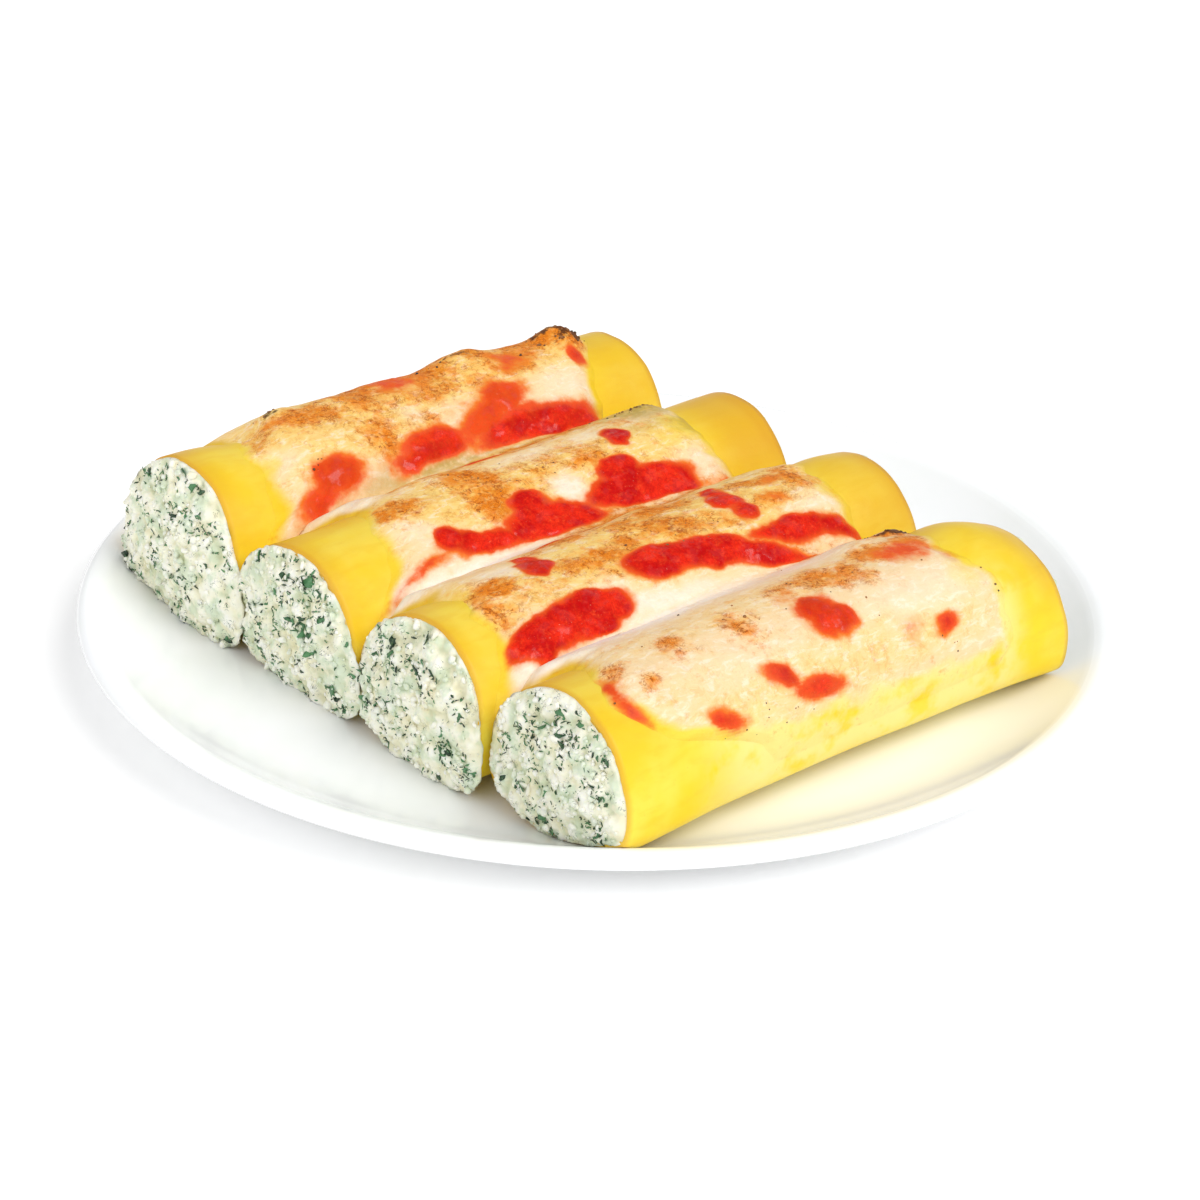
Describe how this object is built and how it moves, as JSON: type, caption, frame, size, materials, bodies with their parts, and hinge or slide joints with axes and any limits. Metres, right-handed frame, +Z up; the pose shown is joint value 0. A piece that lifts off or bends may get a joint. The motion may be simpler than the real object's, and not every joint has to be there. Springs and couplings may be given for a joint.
{
  "type": "cannelloni on a plate",
  "caption": "Filled pasta rolls side by side on a shallow round plate, under one layer of melted cheese with spoonfuls of tomato.",
  "frame": {"origin": "centre of the plate on the table, under its foot ring", "axes": "+X along the pasta rolls, from the ends shown at the front left to the far ends; +Y across the rolls, towards the tallest one at the back; +Z up"},
  "size_m": [0.22, 0.22, 0.045],
  "materials": {
    "plate_glaze": "glossy white glaze",
    "egg_pasta": "soft, slightly shiny cooked egg pasta",
    "ricotta_filling": "matt crumbly ricotta with chopped spinach",
    "melted_cheese": "soft melted cheese, browned in patches",
    "tomato_sauce": "wet chopped tomato"
  },
  "bodies": {
    "root": {"plate": "plate_glaze", "pasta_1": "egg_pasta", "pasta_2": "egg_pasta", "pasta_3": "egg_pasta", "pasta_4": "egg_pasta", "filling_1": "ricotta_filling", "filling_2": "ricotta_filling", "filling_3": "ricotta_filling", "filling_4": "ricotta_filling", "cheese_cover": "melted_cheese", "tomato_01": "tomato_sauce", "tomato_02": "tomato_sauce", "tomato_03": "tomato_sauce", "tomato_04": "tomato_sauce", "tomato_05": "tomato_sauce", "tomato_06": "tomato_sauce", "tomato_07": "tomato_sauce", "tomato_08": "tomato_sauce", "tomato_09": "tomato_sauce", "tomato_10": "tomato_sauce", "tomato_11": "tomato_sauce", "tomato_12": "tomato_sauce", "tomato_13": "tomato_sauce", "tomato_14": "tomato_sauce"}
  },
  "joints": []
}
